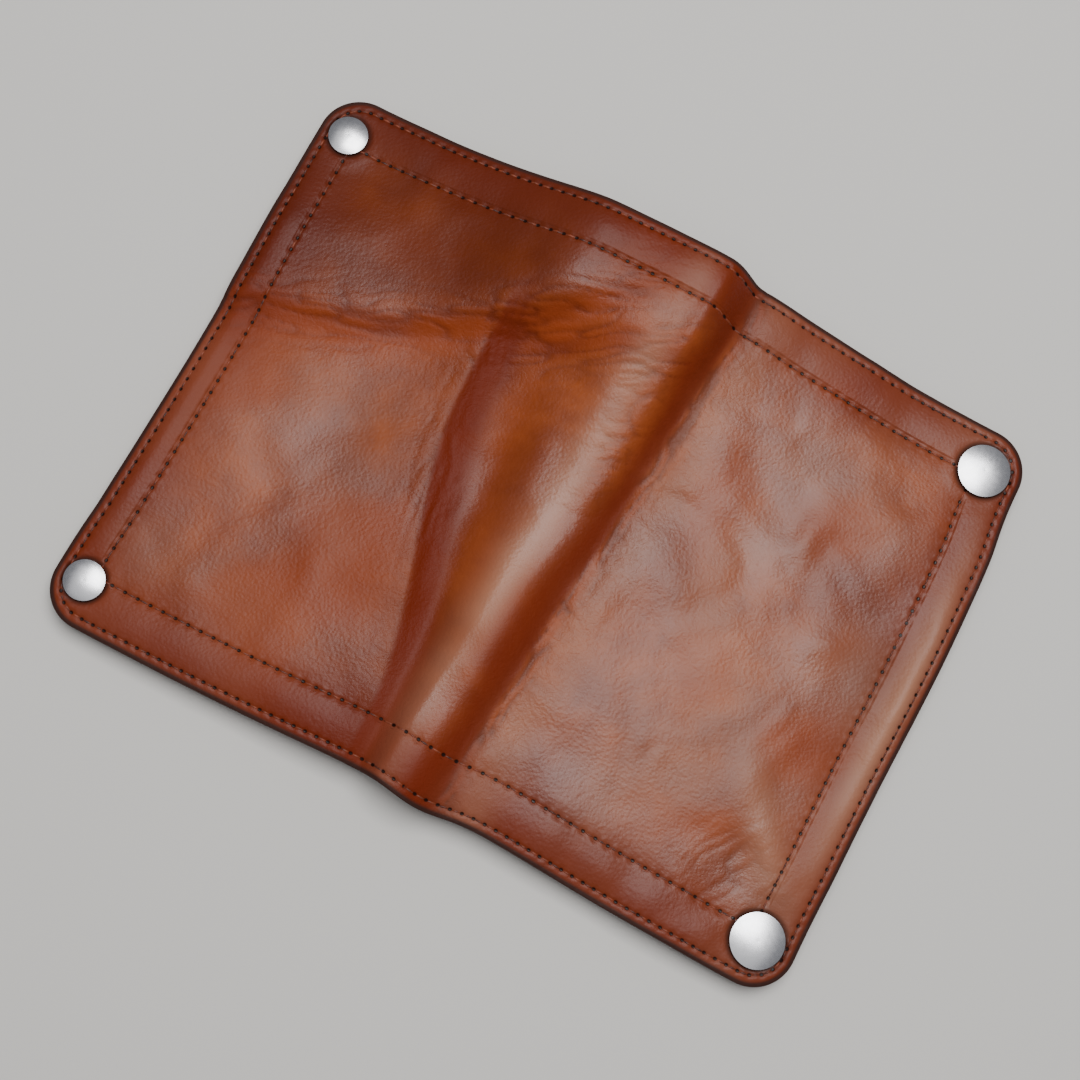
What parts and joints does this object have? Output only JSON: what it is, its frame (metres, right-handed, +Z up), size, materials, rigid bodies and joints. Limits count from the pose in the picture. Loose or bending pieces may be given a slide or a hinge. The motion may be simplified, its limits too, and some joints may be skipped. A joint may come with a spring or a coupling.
{
  "type": "leather bifold wallet",
  "caption": "Passport-size bifold leather wallet lying open, outside up, with press-stud corners, two rows of stitching, slip pockets and card pockets.",
  "frame": {"origin": "bottom centre of the open wallet, on the surface it rests on", "axes": "+X from the spine to the front cover's free edge, +Y along the spine, +Z up, out of the wallet's outside face"},
  "size_m": [0.1862, 0.142, 0.0125],
  "materials": {
    "outer_leather": "waxed pull-up, satin",
    "lining_leather": "matt",
    "pocket_leather": "satin",
    "board": "matt bonded fibre board",
    "thread": "waxed polyester",
    "polished_nickel": "polished nickel plate",
    "nickel_inside": "satin nickel plate",
    "spring_wire": "bright drawn wire"
  },
  "bodies": {
    "back_cover": {"shell_back": "outer_leather", "stiffener_back": "board", "lining_back": "lining_leather", "slip_pocket_back": "pocket_leather", "card_pocket_back_1": "pocket_leather", "card_pocket_back_2": "pocket_leather", "card_pocket_back_3": "pocket_leather", "card_stitch_back": "thread", "edge_stitch_back": "thread", "inner_stitch_back": "thread", "back_cap_upper": "polished_nickel", "back_cap_lower": "polished_nickel", "stud_upper": "nickel_inside", "stud_lower": "nickel_inside"},
    "spine": {"shell_spine": "outer_leather", "lining_spine": "lining_leather", "edge_stitch_spine": "thread", "inner_stitch_spine": "thread"},
    "front_cover": {"shell_front": "outer_leather", "stiffener_front": "board", "lining_front": "lining_leather", "slip_pocket_front": "pocket_leather", "card_pocket_front_1": "pocket_leather", "card_pocket_front_2": "pocket_leather", "card_pocket_front_3": "pocket_leather", "card_stitch_front": "thread", "edge_stitch_front": "thread", "inner_stitch_front": "thread", "front_cap_upper": "polished_nickel", "front_cap_lower": "polished_nickel", "socket_upper": "nickel_inside", "socket_lower": "nickel_inside", "socket_spring_upper": "spring_wire", "socket_spring_lower": "spring_wire"}
  },
  "joints": [
    {"name": "spine_fold", "type": "hinge", "parent": "back_cover", "child": "spine", "pos_m": [-0.00685, 0, 0.007], "axis": [0, 1, 0], "range_deg": [0, 90]},
    {"name": "cover_fold", "type": "hinge", "parent": "spine", "child": "front_cover", "pos_m": [0.00465, 0, 0.007], "axis": [0, 1, 0], "range_deg": [0, 90]}
  ],
  "couplings": [
    {"joint": "cover_fold", "follows": "spine_fold", "ratio": 1}
  ]
}
